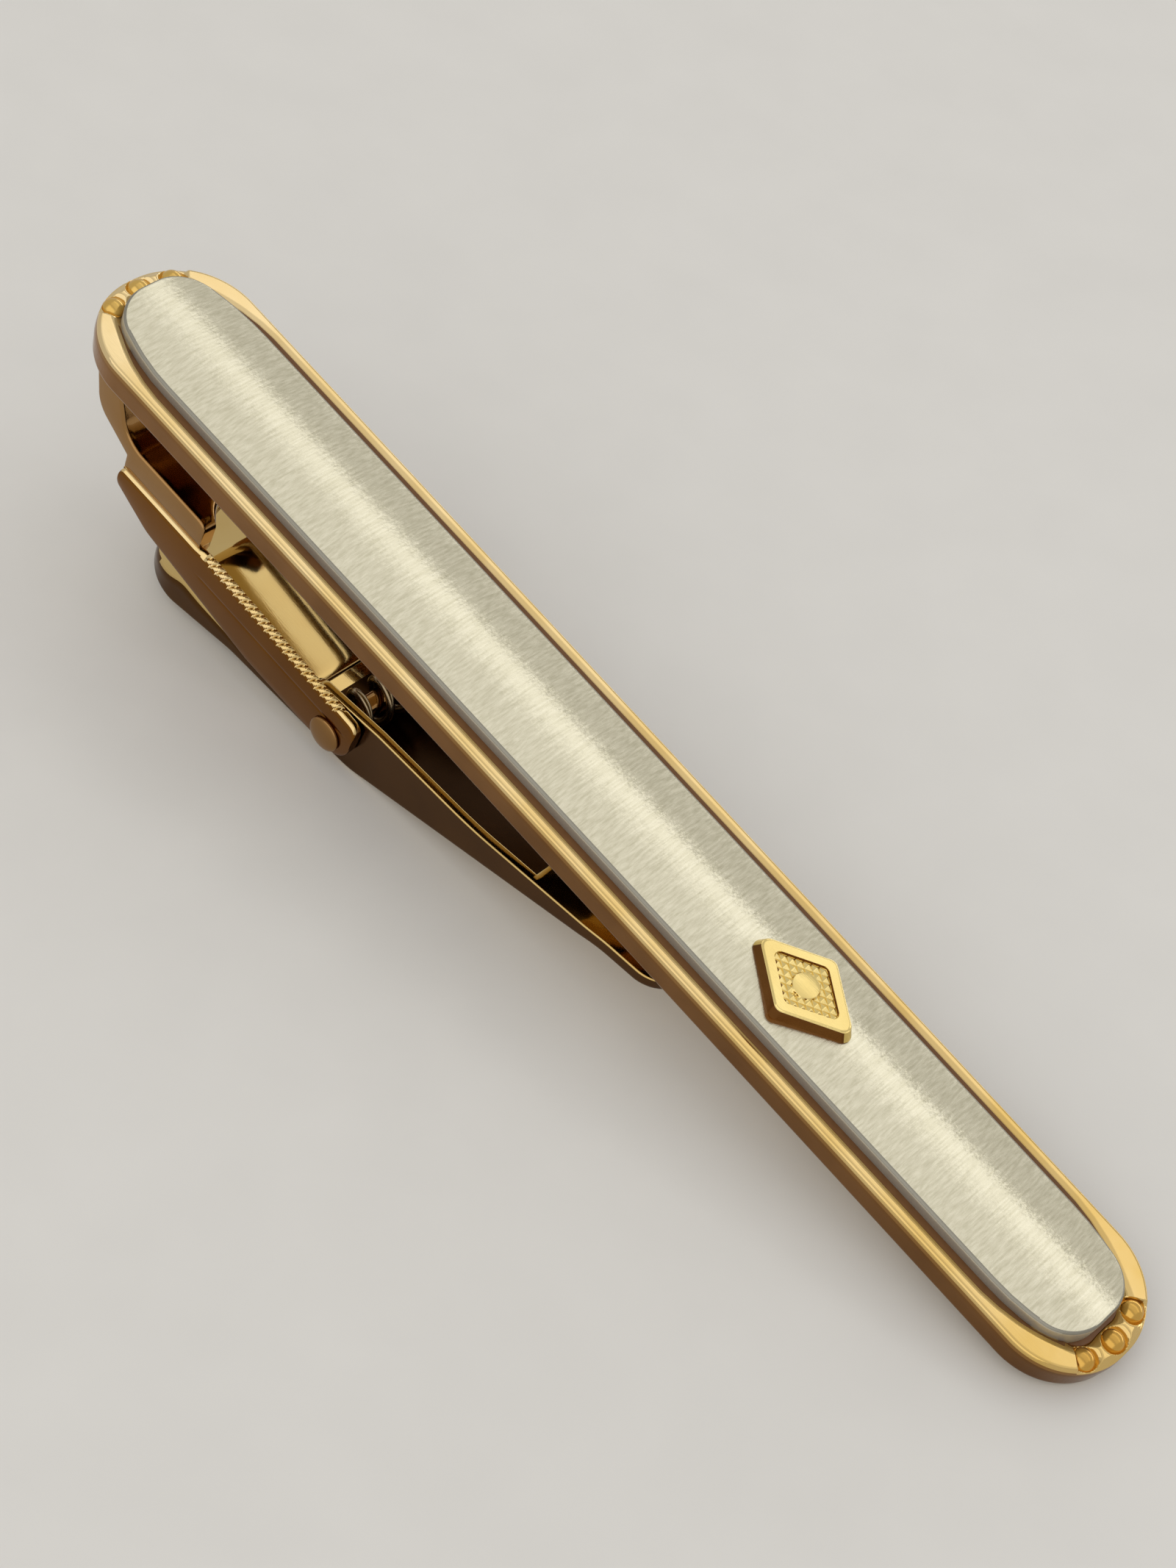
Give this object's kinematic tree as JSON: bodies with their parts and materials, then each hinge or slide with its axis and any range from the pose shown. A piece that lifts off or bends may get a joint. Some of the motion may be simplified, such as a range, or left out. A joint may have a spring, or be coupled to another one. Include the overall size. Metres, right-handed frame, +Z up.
{
  "type": "tie clip",
  "caption": "Gilt tie clip: a long round-ended bar with a domed brushed steel inlay, beaded ends and a lozenge emblem, with a sprung jaw behind it that grips a tie.",
  "frame": {"origin": "middle of the clip's box at its foot, as it lies face up on a table on its lever and its tip", "axes": "+X along the bar towards its tip, +Z up, +Y across the bar so that the frame is right-handed"},
  "size_m": [0.0572, 0.0074, 0.0127],
  "materials": {
    "gilt_brass": "polished gold plate on brass",
    "brushed_steel": "brushed across the bar",
    "spring_steel": "drawn wire",
    "adhesive": "cured film"
  },
  "bodies": {
    "base": {"front_frame": "gilt_brass", "steel_inlay": "brushed_steel", "inlay_bond": "adhesive", "emblem": "gilt_brass", "back_plate": "gilt_brass", "hinge_bracket": "gilt_brass", "pivot_pin": "gilt_brass", "torsion_spring": "spring_steel"},
    "lever": {"jaw_lever": "gilt_brass"}
  },
  "joints": [
    {"name": "jaw_pivot", "type": "hinge", "parent": "base", "child": "lever", "pos_m": [-0.01132, 0, 0.00172], "axis": [0, 1, 0], "range_deg": [0, 11], "stiffness_Nm_per_rad": 0.1, "springref_deg": -20.05, "deforming": ["torsion_spring"]}
  ]
}
